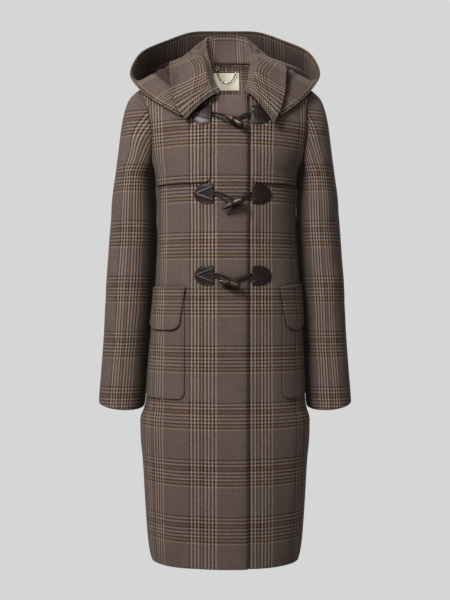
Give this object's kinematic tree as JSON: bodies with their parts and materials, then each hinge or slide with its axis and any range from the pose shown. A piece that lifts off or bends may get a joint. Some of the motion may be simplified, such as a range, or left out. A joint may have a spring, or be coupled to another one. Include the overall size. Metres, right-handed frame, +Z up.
{
  "type": "duffle coat",
  "caption": "Knee-length duffle coat in glen check wool, worn and filled out with no wearer, hood down, pointed collar open, toggles fastened on cord loops.",
  "frame": {"origin": "centre of the neck opening at the height of the shoulder line, where the wearer's neck holds the coat", "axes": "+Z up along the coat's length, +X to the picture's right (the wearer's left), +Y to the coat's back"},
  "size_m": [0.54, 0.3387, 1.1601],
  "materials": {
    "wool": "matte",
    "satin": "satin",
    "leather": "semi-gloss",
    "horn": "polished",
    "cord": "matte",
    "steel": "polished",
    "label": "satin"
  },
  "bodies": {
    "root": {"front_right": "wool", "front_left": "wool", "back": "wool", "sleeve_right": "wool", "sleeve_left": "wool", "yoke_right": "wool", "yoke_left": "wool", "pocket_right": "wool", "pocket_left": "wool", "flap_right": "wool", "flap_left": "wool", "collar": "wool", "hood_shell": "wool", "hood_facing": "wool", "neck_facing": "wool", "hood_lining": "satin", "label": "label", "hanger_chain": "steel", "hanger_ring": "steel", "patch_right_1": "leather", "patch_right_2": "leather", "patch_right_3": "leather", "patch_left_1": "leather", "patch_left_2": "leather", "patch_left_3": "leather", "toggle_1": "horn", "toggle_2": "horn", "toggle_3": "horn", "loop_1": "cord", "loop_2": "cord", "loop_3": "cord", "cord_1": "cord", "cord_2": "cord", "cord_3": "cord"}
  },
  "joints": []
}
